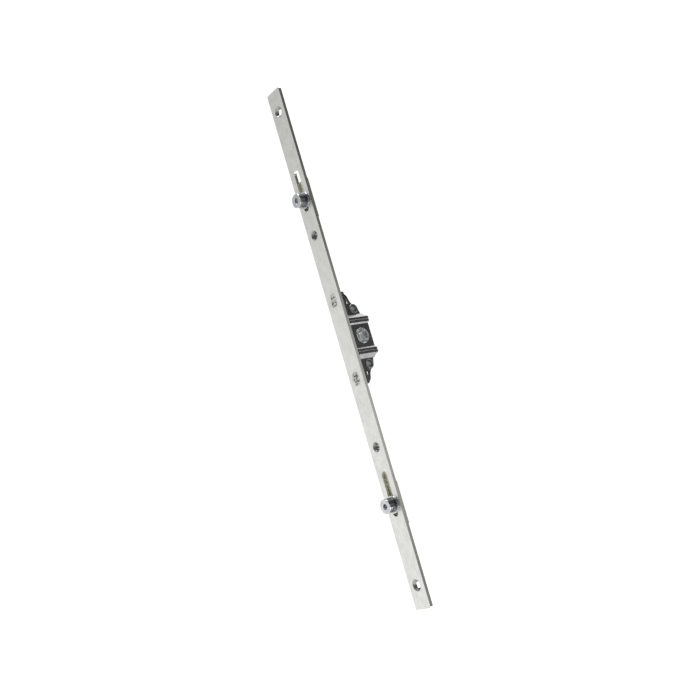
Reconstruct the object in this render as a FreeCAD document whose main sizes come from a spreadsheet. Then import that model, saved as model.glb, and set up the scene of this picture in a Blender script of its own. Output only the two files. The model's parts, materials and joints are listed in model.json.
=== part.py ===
"""Window espagnolette: a turn-only drive-rod bolt for the edge of a window sash.

A long faceplate carries a gear case at its back. A handle spindle turns the toothed hub in the
case, the hub's teeth run in windows punched in the drive rod, and the rod carries two roller cams
out through slots in the faceplate. The origin is the hub's axis, halfway across the faceplate.
X runs across the faceplate, Y goes into the sash, and Z runs up along the faceplate.
"""
import FreeCAD, Part
import math
import os
import Sketcher

V = FreeCAD.Vector

# Driving sizes in millimetres and degrees: name, value, what it is
SIZES = [
    ("plate_length", 400.0, "faceplate, overall length"),
    ("plate_width", 16.0, "faceplate, width"),
    ("plate_thick", 2.5, "faceplate, thickness"),
    ("plate_corner", 1.0, "faceplate, corner radius"),
    ("end_screw_inset", 17.0, "end of the faceplate to the end screws"),
    ("end_screw_hole", 4.5, "end screw hole, diameter"),
    ("end_screw_head", 8.2, "end screw countersink, diameter"),
    ("bush_z", 82.0, "hub axis to the guide bushes"),
    ("cam_slot_width", 5.5, "cam slot in the faceplate, width"),
    ("cam_slot_length", 33.0, "cam slot in the faceplate, length"),
    ("upper_cam_z", 118.0, "hub axis to the upper cam at mid travel"),
    ("lower_cam_z", 116.7, "hub axis to the lower cam at mid travel"),
    ("backset", 13.5, "faceplate front to the hub axis"),
    ("slide_gap", 0.1, "play between faces that slide on each other"),
    ("turn_gap", 0.08, "radial play of turning pieces"),
    ("seat_gap", 0.02, "radial play of pieces fitted for good"),
    ("rod_thick", 2.0, "drive rod, thickness"),
    ("rod_width", 10.4, "drive rod, width"),
    ("rod_pad_width", 12.6, "drive rod, width where the cams sit"),
    ("rod_pad_reach", 15.7, "cam to the end of the drive rod"),
    ("slot_play", 0.4, "play around what passes a slot of the rod"),
    ("hub_turn", 90.0, "hub, turn from end to end"),
    ("spindle_square", 7.0, "spindle socket, across flats"),
    ("hub_core_radius", 6.8, "hub, radius between the journals"),
    ("journal_radius", 5.9, "hub journals, radius"),
    ("hub_core_half", 3.3, "hub, half the width inside the case"),
    ("hub_face_half", 5.2, "hub, half the width over its faces"),
    ("tooth_count", 5.0, "hub teeth"),
    ("tooth_step", 30.0, "angle from tooth to tooth"),
    ("tooth_half_width", 2.7, "hub teeth, half the width along the axis"),
    ("tooth_root_radius", 8.4, "hub sector, radius under the teeth"),
    ("tooth_tip_radius", 10.8, "hub teeth, radius at the tips"),
    ("tooth_root_half", 1.35, "hub tooth, half thickness at the root"),
    ("tooth_shoulder_half", 0.86, "hub tooth, half thickness at its shoulder"),
    ("tooth_crest_half", 0.35, "hub tooth, half thickness of its flat tip"),
    ("tooth_crest", 0.35, "tip of a hub tooth to its shoulder"),
    ("window_play", 0.3, "play beside the teeth across the rod"),
    ("window_length", 3.0, "tooth window in the rod, along the rod"),
    ("case_reach", 35.5, "hub axis to the ends of the case arms"),
    ("arm_half", 3.4, "case arms, half thickness"),
    ("ridge_half", 6.0, "case ridges, half thickness"),
    ("panel_half", 5.0, "case panel around the hub, half thickness"),
    ("case_panel_back", 8.5, "hub axis to the back edge of the panel"),
    ("case_ridge_back", 9.5, "hub axis to the back edge of the ridges"),
    ("ridge_inner_z", 8.9, "hub axis to the foot of a ridge's inner step"),
    ("ridge_outer_z", 17.2, "hub axis to the foot of a ridge's outer flank"),
    ("ridge_step", 1.2, "run of a ridge's inner step"),
    ("ridge_flank", 3.2, "run of a ridge's outer flank"),
    ("ridge_line_width", 0.5, "fine groove along a ridge, width"),
    ("ridge_line_depth", 0.35, "fine groove along a ridge, depth"),
    ("ridge_crown", 3.1, "length of a ridge's back edge along the rod"),
    ("ridge_shoulder", 2.5, "depth of the slope behind a ridge's outer flank"),
    ("case_edge_radius", 0.4, "rounding of the case edges"),
    ("case_corner_radius", 1.0, "rounding of the case outline at its corners"),
    ("handle_screw_z", 21.5, "hub axis to the handle screws"),
    ("boss_side", 4.0, "handle screw to the outer side of its boss"),
    ("boss_foot", 0.2, "hub axis to the foot of the boss's outer side"),
    ("boss_slope_end", 2.8, "hub axis to the end of the slope around the boss"),
    ("boss_slope_reach", 2.5, "handle screw to the end of the slope around the boss"),
    ("boss_back", 4.1, "handle screw to the back of its boss"),
    ("arm_root_back", 5.2, "hub axis to the back of the boss at the ridge"),
    ("web_margin", 1.7, "thin web around a boss, width beyond it"),
    ("eyelet_radius", 3.1, "handle screw eyelet, outer radius"),
    ("eyelet_bore", 5.3, "handle screw eyelet, bore diameter"),
    ("eyelet_rim", 3.7, "handle screw eyelet, rim radius"),
    ("eyelet_rim_thick", 0.35, "handle screw eyelet, rim thickness"),
    ("arm_base", 4.0, "case arm, thickness along the rod"),
    ("arm_end_face", 4.9, "case arm, straight end face"),
    ("arm_end_slope", 3.0, "case arm, run of the slanted end"),
    ("arm_end_radius", 1.8, "case arm, rounding of its end"),
    ("strap_half", 0.95, "outer strap of a case arm, half thickness"),
    ("strap_height", 7.9, "rod side of a case arm to its strap's outer end"),
    ("strap_rise", 1.4, "outer strap, rise to the boss"),
    ("strap_foot", 2.5, "boss side to the top of the strap along the rod"),
    ("opening_wall", 0.9, "arm opening to the side of the boss"),
    ("opening_inset", 4.5, "end of a case arm to its opening"),
    ("opening_height", 4.4, "arm opening, height beside the boss"),
    ("opening_end_height", 3.2, "arm opening, height at its outer end"),
    ("tenon_inset", 5.2, "end of a case arm to the middle of its tenon"),
    ("tenon_length", 8.0, "case tenon, length along the rod"),
    ("tenon_width", 5.0, "case tenon, width of both halves together"),
    ("tenon_flare", 0.7, "case tenon, spread of the staked end"),
    ("stake_half", 0.95, "punch mark in a staked tenon, half its diagonal"),
    ("stake_depth", 0.5, "punch mark in a staked tenon, depth"),
    ("spring_thick", 0.35, "hub brake spring, strip thickness"),
    ("spring_half_width", 2.4, "hub brake spring, half the strip width"),
    ("spring_reach", 6.5, "hub brake spring, half its length"),
    ("spring_bow", 0.35, "hub brake spring, height of its bow"),
    ("spring_pocket", 0.2, "play around the brake spring"),
    ("bush_radius", 3.0, "guide bush, outer radius"),
    ("bush_bore", 4.3, "guide bush, bore diameter"),
    ("bush_mouth", 7.2, "countersink in front of a guide bush, diameter"),
    ("bush_flange_radius", 4.6, "guide bush, radius of the flange behind the rod"),
    ("bush_flange_thick", 0.9, "guide bush, thickness of the flange"),
    ("cam_shank_radius", 2.5, "cam pin, shank radius"),
    ("cam_offset", 0.8, "roller axis to the left of the shank axis"),
    ("cam_journal_radius", 3.4, "cam pin, journal radius"),
    ("roller_radius", 5.3, "cam roller and head, radius"),
    ("roller_length", 4.9, "cam roller, length"),
    ("cam_head_thick", 0.9, "cam pin, head thickness"),
    ("cam_hex", 4.0, "cam pin, hexagon socket across flats"),
    ("cam_hex_depth", 2.5, "cam pin, hexagon socket depth"),
    ("collar_radius", 6.5, "cam collar, radius"),
    ("collar_thick", 0.8, "cam collar, thickness"),
    ("wave_radius", 4.2, "wave washer, radius"),
    ("wave_thick", 0.3, "wave washer, strip thickness"),
    ("wave_bow", 0.2, "wave washer, height of its bow"),
    ("washer_radius", 4.0, "rivet washer, radius"),
    ("washer_thick", 0.5, "rivet washer, thickness"),
    ("rivet_radius", 3.4, "cam pin, radius of the peened end"),
    ("rivet_thick", 0.6, "cam pin, thickness of the peened end"),
]


class Dim:
    """A size that keeps the sheet expression it came from beside its value."""

    def __init__(self, value, text):
        self.value = float(value)
        self.text = text

    def join(self, sign, other, value):
        return Dim(value, "(%s %s %s)" % (self.text, sign, as_dim(other).text))

    def __add__(self, other):
        return self.join("+", other, self.value + as_dim(other).value)

    def __sub__(self, other):
        return self.join("-", other, self.value - as_dim(other).value)

    def __mul__(self, other):
        return self.join("*", other, self.value * as_dim(other).value)

    def __truediv__(self, other):
        return self.join("/", other, self.value / as_dim(other).value)

    def __neg__(self):
        return Dim(-self.value, "(0 - %s)" % self.text)


def as_dim(number):
    if isinstance(number, Dim):
        return number
    return Dim(number, repr(float(number)))


class Sizes:
    """The sheet of driving sizes; each is read as an attribute that gives a Dim."""

    def __init__(self, doc):
        self.sheet = doc.addObject("Spreadsheet::Sheet", "Sizes")
        for row, (name, value, note) in enumerate(SIZES, start=1):
            self.sheet.set("A%d" % row, name)
            self.sheet.set("B%d" % row, str(value))
            self.sheet.set("C%d" % row, note)
            self.sheet.setAlias("B%d" % row, name)
        doc.recompute()

    def __getattr__(self, name):
        return Dim(self.sheet.get(name), "Sizes." + name)


doc = FreeCAD.newDocument("window_espagnolette")
size = Sizes(doc)
ZERO = as_dim(0)


# Helpers for sketches and features
def bind(feature, prop, dim):
    """Give a feature's property its value and the expression behind it."""
    dim = as_dim(dim)
    whole = isinstance(getattr(feature, prop), int)
    setattr(feature, prop, round(dim.value) if whole else dim.value)
    feature.setExpression(prop, dim.text)


def new_body(label):
    body = doc.addObject("PartDesign::Body", label)
    body.Label = label
    return body


def new_sketch(body, plane, name, offset=None, shift=None, turn=None, turn_axis=V(0, 0, 1)):
    """A sketch on one of the body's own planes, offset along its normal or turned about an axis."""
    sketch = body.newObject("Sketcher::SketchObject", name)
    support = [f for f in body.Origin.OriginFeatures if f.Role == plane + "_Plane"][0]
    sketch.AttachmentSupport = (support, [""])
    sketch.MapMode = "FlatFace"
    if turn is not None:
        sketch.AttachmentOffset = FreeCAD.Placement(V(), FreeCAD.Rotation(turn_axis, turn.value))
        sketch.setExpression("AttachmentOffset.Rotation.Angle", turn.text)
    if offset is not None:
        sketch.setExpression("AttachmentOffset.Base.z", offset.text)
    if shift is not None:
        sketch.setExpression("AttachmentOffset.Base.x", shift.text)
    return sketch


def limit(sketch, kind, args, dim):
    """Add a dimension to a sketch and bind it."""
    dim = as_dim(dim)
    index = sketch.addConstraint(Sketcher.Constraint(kind, *args, dim.value))
    sketch.setExpression("Constraints[%d]" % index, dim.text)


def pin_point(sketch, geometry, end, x, y):
    """Hold a point of a sketch at a distance from the sketch's origin."""
    limit(sketch, "DistanceX", (-1, 1, geometry, end), x)
    limit(sketch, "DistanceY", (-1, 1, geometry, end), y)


def add_polygon(sketch, points):
    """A closed outline with straight sides through the points."""
    corners = [V(as_dim(x).value, as_dim(y).value, 0) for x, y in points]
    lines = []
    for start, end in zip(corners, corners[1:] + corners[:1]):
        lines.append(sketch.addGeometry(Part.LineSegment(start, end), False))
    for line, following in zip(lines, lines[1:] + lines[:1]):
        sketch.addConstraint(Sketcher.Constraint("Coincident", line, 2, following, 1))
    for line, (x, y) in zip(lines, points):
        pin_point(sketch, line, 1, x, y)


def add_circle(sketch, x, y, radius):
    x, y, radius = as_dim(x), as_dim(y), as_dim(radius)
    shape = Part.Circle(V(x.value, y.value, 0), V(0, 0, 1), radius.value)
    circle = sketch.addGeometry(shape, False)
    limit(sketch, "Radius", (circle,), radius)
    pin_point(sketch, circle, 3, x, y)


def add_slot(sketch, x, y, length, width):
    """A slot with round ends, its length along the sketch's second axis."""
    x, y, radius = as_dim(x), as_dim(y), width / 2
    reach = length / 2 - radius
    top = Part.Circle(V(x.value, (y + reach).value, 0), V(0, 0, 1), radius.value)
    foot = Part.Circle(V(x.value, (y - reach).value, 0), V(0, 0, 1), radius.value)
    upper = sketch.addGeometry(Part.ArcOfCircle(top, 0, math.pi), False)
    lower = sketch.addGeometry(Part.ArcOfCircle(foot, math.pi, 2 * math.pi), False)
    side = V(radius.value, 0, 0)
    left = sketch.addGeometry(Part.LineSegment(top.Center - side, foot.Center - side), False)
    right = sketch.addGeometry(Part.LineSegment(foot.Center + side, top.Center + side), False)
    for first, second in ((upper, left), (left, lower), (lower, right), (right, upper)):
        sketch.addConstraint(Sketcher.Constraint("Tangent", first, 2, second, 1))
    sketch.addConstraint(Sketcher.Constraint("Equal", upper, lower))
    limit(sketch, "Radius", (upper,), radius)
    pin_point(sketch, upper, 3, x, y + reach)
    pin_point(sketch, lower, 3, x, y - reach)


def add_box(sketch, x0, x1, y0, y1):
    add_polygon(sketch, [(x0, y0), (x1, y0), (x1, y1), (x0, y1)])


def add_diamond(sketch, x, y, half):
    """A square that stands on its corner about a point."""
    add_polygon(sketch, [(x + half, y), (x, y + half), (x - half, y), (x, y - half)])


def add_hexagon(sketch, across_flats):
    """A regular hexagon about the sketch's origin."""
    half = across_flats / 2
    short = half / math.sqrt(3)
    corner = short * 2
    add_polygon(sketch, [(corner, ZERO), (short, half), (-short, half),
                         (-corner, ZERO), (-short, -half), (short, -half)])


def pad(body, sketch, name, length, symmetric=False, reverse=False):
    feature = body.newObject("PartDesign::Pad", name)
    feature.Profile = sketch
    feature.SideType = "Symmetric" if symmetric else "One side"
    feature.Reversed = reverse
    bind(feature, "Length", length)
    sketch.Visibility = False
    return feature


def pocket(body, sketch, name, depth=None, symmetric=False, reverse=False):
    """Cut the sketch out of the body, right through where no depth is given."""
    feature = body.newObject("PartDesign::Pocket", name)
    feature.Profile = sketch
    feature.SideType = "Symmetric" if symmetric else "One side"
    feature.Reversed = reverse
    if depth is None:
        feature.Type = "ThroughAll"
    else:
        bind(feature, "Length", depth)
    sketch.Visibility = False
    return feature


def revolve(body, sketch, name, axis, angle=None):
    """Turn the sketch about one of its own axes, all round or by an angle centred on it."""
    feature = body.newObject("PartDesign::Revolution", name)
    feature.Profile = sketch
    feature.ReferenceAxis = (sketch, [axis])
    if angle is not None:
        feature.Midplane = True
        bind(feature, "Angle", angle)
    sketch.Visibility = False
    return feature


def soften(body, kind, name, radius, wanted):
    """Fillet or chamfer the edges of the body's last feature that the test picks."""
    doc.recompute()
    base = body.Tip
    names = ["Edge%d" % (i + 1) for i, edge in enumerate(base.Shape.Edges) if wanted(edge)]
    feature = body.newObject("PartDesign::" + kind, name)
    feature.Base = (base, names)
    bind(feature, "Size" if kind == "Chamfer" else "Radius", radius)
    return feature


def runs_along(edge, axis):
    """True for a straight edge along the axis."""
    if not isinstance(edge.Curve, (Part.Line, Part.LineSegment)):
        return False
    ends = edge.Vertexes[-1].Point - edge.Vertexes[0].Point
    return abs(abs(ends.dot(axis)) - ends.Length) < TINY


def place(body, x=ZERO, y=ZERO, z=ZERO):
    for letter, dim in zip("xyz", (x, y, z)):
        body.setExpression("Placement.Base." + letter, as_dim(dim).text)


TINY = 1e-6

# Places worked out from the driving sizes; those along Y are distances in front of the hub axis
plate_front = size.backset
plate_back = plate_front - size.plate_thick
rod_front = plate_back - size.slide_gap
rod_back = rod_front - size.rod_thick
case_base = rod_back - size.slide_gap
pitch_radius = rod_front - size.rod_thick / 2
travel = pitch_radius * size.hub_turn * (math.pi / 180)
tooth_pitch = pitch_radius * size.tooth_step * (math.pi / 180)
rod_rest = -travel / 2
end_screw_z = size.plate_length / 2 - size.end_screw_inset
tenon_z = size.case_reach - size.tenon_inset
bush_sink = size.bush_mouth / 2 - size.bush_radius - size.seat_gap
hub_rest = size.hub_turn / 2
roller_x = -size.cam_offset
CAMS = {"upper": size.upper_cam_z, "lower": -size.lower_cam_z}
MIRRORED = {"upper": 1, "lower": -1}


def make_faceplate():
    """The flat bar that is let into the sash edge and screwed down."""
    body = new_body("faceplate")
    outline = new_sketch(body, "XZ", "plate_outline", offset=plate_back)
    half_width, half_length = size.plate_width / 2, size.plate_length / 2
    add_box(outline, -half_width, half_width, -half_length, half_length)
    pad(body, outline, "plate", size.plate_thick)
    soften(body, "Fillet", "plate_corners", size.plate_corner,
           lambda edge: runs_along(edge, V(0, 1, 0)))

    slots = new_sketch(body, "XZ", "slot_outlines", offset=plate_front)
    tenon_x = size.tenon_width / 2 + size.seat_gap
    tenon_reach = size.tenon_length / 2 + size.seat_gap
    for z in CAMS.values():
        add_slot(slots, ZERO, z, size.cam_slot_length, size.cam_slot_width)
    for side in MIRRORED.values():
        middle = tenon_z * side
        add_box(slots, -tenon_x, tenon_x, middle - tenon_reach, middle + tenon_reach)
        add_circle(slots, ZERO, size.bush_z * side, size.bush_radius + size.seat_gap)
    pocket(body, slots, "plate_slots")

    screws = new_sketch(body, "XZ", "end_screw_places", offset=plate_front)
    for side in MIRRORED.values():
        add_circle(screws, ZERO, end_screw_z * side, size.end_screw_hole / 2)
    doc.recompute()
    holes = body.newObject("PartDesign::Hole", "end_screw_holes")
    holes.Profile = screws
    holes.DepthType = "ThroughAll"
    holes.HoleCutType = "Countersink"
    holes.HoleCutCustomValues = True
    bind(holes, "Diameter", size.end_screw_hole)
    bind(holes, "HoleCutDiameter", size.end_screw_head)
    holes.HoleCutCountersinkAngle = 90
    screws.Visibility = False

    def front_rim(edge, middle, reach):
        box = edge.BoundBox
        flat = abs(box.YMin + plate_front.value) < TINY and abs(box.YMax + plate_front.value) < TINY
        return flat and abs(abs(box.Center.z) - middle.value) < reach.value

    soften(body, "Chamfer", "tenon_mouths", size.tenon_flare,
           lambda edge: runs_along(edge, V(1, 0, 0)) and front_rim(edge, tenon_z, size.tenon_length))
    soften(body, "Chamfer", "bush_mouths", bush_sink,
           lambda edge: front_rim(edge, size.bush_z, size.bush_radius))
    return body


def make_drive_rod():
    """The sliding bar, wider at the cams, punched for the teeth, the tenons and the bushes."""
    body = new_body("drive_rod")
    outline = new_sketch(body, "XZ", "rod_outline", offset=rod_back)
    half, wide = size.rod_width / 2, size.rod_pad_width / 2
    reach = size.rod_pad_reach
    ends = [CAMS["upper"] + reach, CAMS["upper"] - reach, CAMS["lower"] + reach, CAMS["lower"] - reach]
    right = [(wide, ends[3]), (wide, ends[2]), (half, ends[2]),
             (half, ends[1]), (wide, ends[1]), (wide, ends[0])]
    left = [(-x, z) for x, z in reversed(right)]
    add_polygon(outline, right + left)
    pad(body, outline, "rod", size.rod_thick)

    slots = new_sketch(body, "XZ", "rod_slots", offset=rod_front)
    play = size.slot_play
    tenon_x = (size.tenon_width + play) / 2
    tenon_reach = (size.tenon_length + travel) / 2 + play
    for side in MIRRORED.values():
        middle = tenon_z * side
        add_box(slots, -tenon_x, tenon_x, middle - tenon_reach, middle + tenon_reach)
        add_slot(slots, ZERO, size.bush_z * side,
                 size.bush_radius * 2 + travel + play * 2, size.bush_radius * 2 + play)
    for z in CAMS.values():
        add_circle(slots, ZERO, z, size.cam_shank_radius + size.turn_gap)
    pocket(body, slots, "slots")

    window = new_sketch(body, "XZ", "first_window", offset=rod_front)
    half_x = size.tooth_half_width + size.window_play
    half_z = size.window_length / 2
    row_half = tooth_pitch * (size.tooth_count - 1) / 2
    add_box(window, -half_x, half_x, -row_half - half_z, half_z - row_half)
    first = pocket(body, window, "tooth_window")
    row = body.newObject("PartDesign::LinearPattern", "tooth_windows")
    row.Originals = [first]
    row.Direction = (window, ["V_Axis"])
    bind(row, "Length", row_half * 2)
    bind(row, "Occurrences", size.tooth_count)
    body.Tip = row
    place(body, z=rod_rest)
    return body


def make_hub():
    """The hub: two journals, a core with the square socket, and a sector of teeth."""
    body = new_body("gear_hub")
    core = new_sketch(body, "XY", "core_profile")
    face, half = size.hub_face_half, size.hub_core_half
    journal, radius = size.journal_radius, size.hub_core_radius
    right = [(face, ZERO), (face, journal), (half, journal), (half, radius)]
    left = [(-x, y) for x, y in reversed(right)]
    add_polygon(core, right + left)
    revolve(body, core, "core", "H_Axis")

    sector = new_sketch(body, "XY", "sector_profile", turn=hub_rest, turn_axis=V(1, 0, 0))
    half = size.tooth_half_width
    add_box(sector, -half, half, -size.tooth_root_radius, -journal)
    sector_angle = size.tooth_step * size.tooth_count
    revolve(body, sector, "sector", "H_Axis", sector_angle)

    first_angle = hub_rest + size.tooth_step * (size.tooth_count - 1) / 2
    tooth = new_sketch(body, "YZ", "tooth_outline", turn=first_angle)
    root, tip = size.tooth_root_half, -size.tooth_tip_radius
    side = [(-journal, root), (-size.tooth_root_radius, root),
            (tip + size.tooth_crest, size.tooth_shoulder_half), (tip, size.tooth_crest_half)]
    add_polygon(tooth, side + [(y, -z) for y, z in reversed(side)])
    first = pad(body, tooth, "tooth", half * 2, symmetric=True)
    ring = body.newObject("PartDesign::PolarPattern", "teeth")
    ring.Originals = [first]
    ring.Axis = (tooth, ["N_Axis"])
    ring.Reversed = True
    bind(ring, "Angle", size.tooth_step * (size.tooth_count - 1))
    bind(ring, "Occurrences", size.tooth_count)
    body.Tip = ring

    socket = new_sketch(body, "YZ", "socket_outline")
    flat = size.spindle_square / 2
    add_box(socket, -flat, flat, -flat, flat)
    pocket(body, socket, "spindle_socket", symmetric=True)
    return body


def boss_outline():
    """The back of the thick boss around an eyelet, from its outer side to the ridge, as (Y, Z) points."""
    boss = size.handle_screw_z
    return [
        (size.boss_foot, boss + size.boss_side),
        (size.boss_slope_end, boss + size.boss_slope_reach),
        (size.boss_back, boss),
        (size.arm_root_back, size.ridge_outer_z + size.case_edge_radius),
    ]


def case_outline():
    """The side outline of the case for Z above zero, from the rod to the back, as (Y, Z) points."""
    base = -case_base
    strap = base + size.strap_height
    boss_end = size.handle_screw_z + size.boss_side
    web = [(y + size.web_margin, z) for y, z in boss_outline()]
    back, crown = size.case_ridge_back, size.ridge_outer_z - size.ridge_flank
    return [
        (base, size.case_reach),
        (base + size.arm_end_face, size.case_reach),
        (strap, size.case_reach - size.arm_end_slope),
        (strap + size.strap_rise, boss_end + size.strap_foot),
    ] + web + [
        (back - size.ridge_shoulder, (size.ridge_outer_z + crown) / 2),
        (back, crown),
        (back, crown - size.ridge_crown),
        (size.case_panel_back, size.ridge_inner_z),
    ]


def case_section():
    """How far the case's side stands from the middle for Z above zero, as (X, Z) points."""
    past_end = size.case_reach + size.case_corner_radius
    outer, inner = size.ridge_outer_z, size.ridge_inner_z
    top_outer, top_inner = outer - size.ridge_flank, inner + size.ridge_step
    middle = (top_outer + top_inner) / 2
    half_line = size.ridge_line_width / 2
    ridge = size.ridge_half
    return [
        (size.arm_half, past_end),
        (size.arm_half, outer),
        (ridge, top_outer),
        (ridge, middle + half_line),
        (ridge - size.ridge_line_depth, middle),
        (ridge, middle - half_line),
        (ridge, top_inner),
        (size.panel_half, inner),
    ]


def make_case_half(label, side):
    """One die-cast half of the gear case; side is 1 for the half towards +X."""
    body = new_body(label)
    outline = new_sketch(body, "YZ", label + "_outline")
    upper = case_outline()
    add_polygon(outline, upper + [(y, -z) for y, z in reversed(upper)])
    pad(body, outline, label + "_block", size.ridge_half, reverse=side < 0)

    relief = new_sketch(body, "XZ", label + "_relief")
    section = [(x * side, z) for x, z in case_section()]
    outside = (size.ridge_half + size.case_corner_radius) * side
    add_polygon(relief, [(outside, section[0][1])] + section + [(x, -z) for x, z in reversed(section)]
                + [(outside, -section[0][1])])
    pocket(body, relief, label + "_side_form", symmetric=True)
    soften(body, "Fillet", label + "_arm_ends", size.arm_end_radius,
           lambda edge: stands_at(edge, upper[1:2]))
    soften(body, "Fillet", label + "_corners", size.case_corner_radius,
           lambda edge: stands_at(edge, upper[2:6] + upper[8:11]))
    soften(body, "Fillet", label + "_rounding", size.case_edge_radius, crosses_ridge)

    straps = new_sketch(body, "YZ", label + "_strap_sides", offset=size.strap_half * side)
    base_back = size.arm_base - case_base
    boss, ridge_foot = boss_outline(), size.ridge_outer_z
    past_end, past_back = size.case_reach + size.case_corner_radius, size.case_ridge_back
    relieved = [(base_back, past_end), (base_back, boss[0][1])] + boss[:-1]
    relieved += [(size.arm_root_back, ridge_foot), (past_back, ridge_foot), (past_back, past_end)]
    for sign in MIRRORED.values():
        add_polygon(straps, [(y, z * sign) for y, z in relieved])
    pocket(body, straps, label + "_strap_relief", size.arm_half, reverse=side > 0)
    soften(body, "Fillet", label + "_base_ends", size.case_corner_radius,
           lambda edge: stands_at(edge, [(base_back, size.case_reach)]))

    add_tenons(body, label, side)

    cuts = new_sketch(body, "YZ", label + "_cuts")
    for sign in MIRRORED.values():
        add_circle(cuts, ZERO, size.handle_screw_z * sign, size.eyelet_radius + size.seat_gap)
        add_polygon(cuts, [(y, z * sign) for y, z in arm_opening()])
    add_circle(cuts, ZERO, ZERO, size.journal_radius + size.turn_gap)
    pocket(body, cuts, label + "_openings", symmetric=True)

    room = size.hub_core_half + size.slide_gap
    core = new_sketch(body, "YZ", label + "_core_room")
    add_circle(core, ZERO, ZERO, size.hub_core_radius + size.turn_gap)
    pocket(body, core, label + "_core_pocket", room, reverse=side > 0)
    add_sector_room(body, label, side)

    spring = new_sketch(body, "YZ", label + "_spring_room")
    reach = size.spring_reach + size.spring_pocket
    add_box(spring, ZERO, spring_back() + size.seat_gap, -reach, reach)
    pocket(body, spring, label + "_spring_pocket", size.spring_half_width + size.slide_gap, reverse=side > 0)
    return body


def stands_at(edge, points):
    """True for an edge along X that stands at one of the (Y, Z) points, or at its mirror image."""
    if not runs_along(edge, V(1, 0, 0)):
        return False
    spot = edge.BoundBox.Center
    return any(math.hypot(spot.y - y.value, abs(spot.z) - z.value) < TINY for y, z in points)


def crosses_ridge(edge):
    """True for the long edges of the ridges, apart from those of the fine groove."""
    spot = edge.BoundBox.Center
    top = size.ridge_outer_z - size.ridge_flank
    foot = size.ridge_inner_z + size.ridge_step
    edges = [top, foot, size.ridge_inner_z]
    at_ridge = any(abs(abs(spot.z) - z.value) < TINY for z in edges)
    return at_ridge and runs_along(edge, V(0, 1, 0)) and abs(spot.x) > size.arm_half.value


def arm_opening():
    """The tapered opening in a case arm, as (Y, Z) points from the corner by the rod and the boss."""
    near = size.arm_base - case_base
    wall = size.handle_screw_z + size.boss_side + size.opening_wall
    end = size.case_reach - size.opening_inset
    return [
        (near, wall),
        (near + size.opening_height, wall),
        (near + size.opening_end_height, end),
        (near, end),
    ]


def add_tenons(body, label, side):
    """Half tenons that pass the rod and are spread by staking at the front of the faceplate."""
    outline = new_sketch(body, "YZ", label + "_tenon_outline")
    half, flare = size.tenon_length / 2, size.tenon_flare
    root, front = size.arm_base / 2 - case_base, -plate_front
    half_width = size.tenon_width / 2
    for sign in MIRRORED.values():
        low, high = tenon_z * sign - half, tenon_z * sign + half
        add_polygon(outline, [(root, low), (front + flare, low), (front, low - flare),
                              (front, high + flare), (front + flare, high), (root, high)])
    pad(body, outline, label + "_tenon", half_width, reverse=side < 0)
    marks = new_sketch(body, "XZ", label + "_marks", offset=plate_front)
    for sign in MIRRORED.values():
        for step in (-1, 1):
            add_diamond(marks, half_width * side / 2, tenon_z * sign + half * step / 2, size.stake_half)
    pocket(body, marks, label + "_stakes", size.stake_depth)


def sector_flat():
    """How far behind the hub axis the tooth room reaches."""
    swing = math.radians(size.tooth_step.value * (size.tooth_count.value - 1) / 2 + hub_rest.value)
    back = -math.cos(swing) * size.tooth_tip_radius.value
    return as_dim(back) + size.tooth_root_half + size.slide_gap


def add_sector_room(body, label, side):
    """The room that the tooth sector sweeps, round towards the rod and flat at the back."""
    depth = size.tooth_half_width + size.slide_gap
    radius = size.tooth_tip_radius + size.slide_gap
    sketch = new_sketch(body, "YZ", label + "_tooth_room")
    flat = sector_flat()
    half = math.sqrt(radius.value ** 2 - flat.value ** 2)
    start = math.atan2(half, flat.value)
    circle = Part.Circle(V(), V(0, 0, 1), radius.value)
    arc = sketch.addGeometry(Part.ArcOfCircle(circle, start, 2 * math.pi - start), False)
    chord = sketch.addGeometry(Part.LineSegment(V(flat.value, -half, 0), V(flat.value, half, 0)), False)
    sketch.addConstraint(Sketcher.Constraint("Coincident", arc, 2, chord, 1))
    sketch.addConstraint(Sketcher.Constraint("Coincident", arc, 1, chord, 2))
    sketch.addConstraint(Sketcher.Constraint("Vertical", chord))
    limit(sketch, "Radius", (arc,), radius)
    pin_point(sketch, arc, 3, ZERO, ZERO)
    limit(sketch, "DistanceX", (-1, 1, chord, 1), flat)
    pocket(body, sketch, label + "_tooth_pocket", depth, reverse=side > 0)


def spring_back():
    """Back face of the brake spring's ends behind the hub axis."""
    return size.hub_core_radius + size.seat_gap + size.spring_bow + size.spring_thick


def make_brake_spring():
    """A bowed strip that presses on the back of the hub and holds it where it is left."""
    body = new_body("hub_brake_spring")
    near = (size.hub_core_radius + size.seat_gap).value
    far = (spring_back() - size.spring_thick).value
    thick, reach = size.spring_thick.value, size.spring_reach.value
    outline = new_sketch(body, "YZ", "spring_outline")
    inner = Part.Arc(V(far, -reach, 0), V(near, 0, 0), V(far, reach, 0))
    outer = Part.Arc(V(far + thick, -reach, 0), V(near + thick, 0, 0), V(far + thick, reach, 0))
    outline.addGeometry(inner, False)
    outline.addGeometry(outer, False)
    for end in (-reach, reach):
        outline.addGeometry(Part.LineSegment(V(far, end, 0), V(far + thick, end, 0)), False)
    pad(body, outline, "spring_strip", size.spring_half_width * 2, symmetric=True)
    return body


def make_eyelet(label, sign):
    """A tube rivet that ties the case halves and lines the handle screw hole."""
    body = new_body(label)
    profile = new_sketch(body, "XY", label + "_profile")
    bore, outer, rim = size.eyelet_bore / 2, size.eyelet_radius, size.eyelet_rim
    inside = size.arm_half + size.seat_gap
    outside = inside + size.eyelet_rim_thick
    add_polygon(profile, [(-outside, bore), (outside, bore), (outside, rim), (inside, rim), (inside, outer),
                          (-inside, outer), (-inside, rim), (-outside, rim)])
    revolve(body, profile, label + "_tube", "H_Axis")
    place(body, z=size.handle_screw_z * sign)
    return body


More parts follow.
